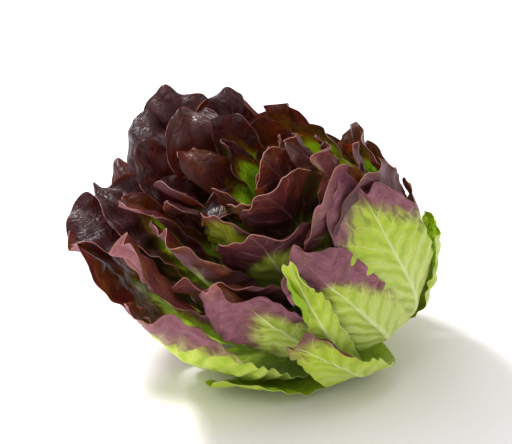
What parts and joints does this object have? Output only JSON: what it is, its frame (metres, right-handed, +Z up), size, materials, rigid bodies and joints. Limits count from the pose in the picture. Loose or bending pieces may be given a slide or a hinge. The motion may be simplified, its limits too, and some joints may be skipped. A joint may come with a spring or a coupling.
{
  "type": "head of lettuce",
  "caption": "Loose head of red butterhead lettuce, leaning on its lower leaves, with a cut stem, pale green leaf bases and crinkled burgundy margins.",
  "frame": {"origin": "centre of the bounding box in X and Y, on the ground that the lowest leaf rests on", "axes": "+Z up from the ground; -Y towards the side where the leaves face; the crown opens up and towards -X and -Y, with the cut stem low at +X and +Y"},
  "size_m": [0.2348, 0.2328, 0.1875],
  "materials": {
    "stem": "pale green stem, matte, with a browned cut face",
    "outer_leaf": "leaf, yellow-green base with mauve and burgundy margin, satin",
    "middle_leaf": "leaf, burgundy over a pale green base, waxy gloss on the blisters",
    "heart_leaf": "leaf, dark burgundy, waxy gloss on the blisters"
  },
  "bodies": {
    "root": {"cut_stem": "stem", "heart_leaf_37": "heart_leaf", "heart_leaf_38": "heart_leaf", "heart_leaf_39": "heart_leaf", "heart_leaf_40": "heart_leaf", "heart_leaf_41": "heart_leaf", "heart_leaf_42": "heart_leaf", "heart_leaf_43": "heart_leaf", "heart_leaf_44": "heart_leaf", "heart_leaf_45": "heart_leaf", "heart_leaf_46": "heart_leaf", "heart_leaf_47": "heart_leaf", "heart_leaf_48": "heart_leaf", "heart_leaf_49": "heart_leaf", "heart_leaf_50": "heart_leaf", "heart_leaf_51": "heart_leaf", "heart_leaf_52": "heart_leaf", "middle_leaf_17": "middle_leaf", "middle_leaf_18": "middle_leaf", "middle_leaf_19": "middle_leaf", "middle_leaf_20": "middle_leaf", "middle_leaf_21": "middle_leaf", "middle_leaf_22": "middle_leaf", "middle_leaf_23": "middle_leaf", "middle_leaf_24": "middle_leaf", "middle_leaf_25": "middle_leaf", "middle_leaf_26": "middle_leaf", "middle_leaf_27": "middle_leaf", "middle_leaf_28": "middle_leaf", "middle_leaf_29": "middle_leaf", "middle_leaf_30": "middle_leaf", "middle_leaf_31": "middle_leaf", "middle_leaf_32": "middle_leaf", "middle_leaf_33": "middle_leaf", "middle_leaf_34": "middle_leaf", "middle_leaf_35": "middle_leaf", "middle_leaf_36": "middle_leaf", "outer_leaf_01": "outer_leaf", "outer_leaf_02": "outer_leaf", "outer_leaf_03": "outer_leaf", "outer_leaf_04": "outer_leaf", "outer_leaf_05": "outer_leaf", "outer_leaf_06": "outer_leaf", "outer_leaf_07": "outer_leaf", "outer_leaf_08": "outer_leaf", "outer_leaf_09": "outer_leaf", "outer_leaf_10": "outer_leaf", "outer_leaf_11": "outer_leaf", "outer_leaf_12": "outer_leaf", "outer_leaf_13": "outer_leaf", "outer_leaf_14": "outer_leaf", "outer_leaf_15": "outer_leaf", "outer_leaf_16": "outer_leaf"}
  },
  "joints": []
}
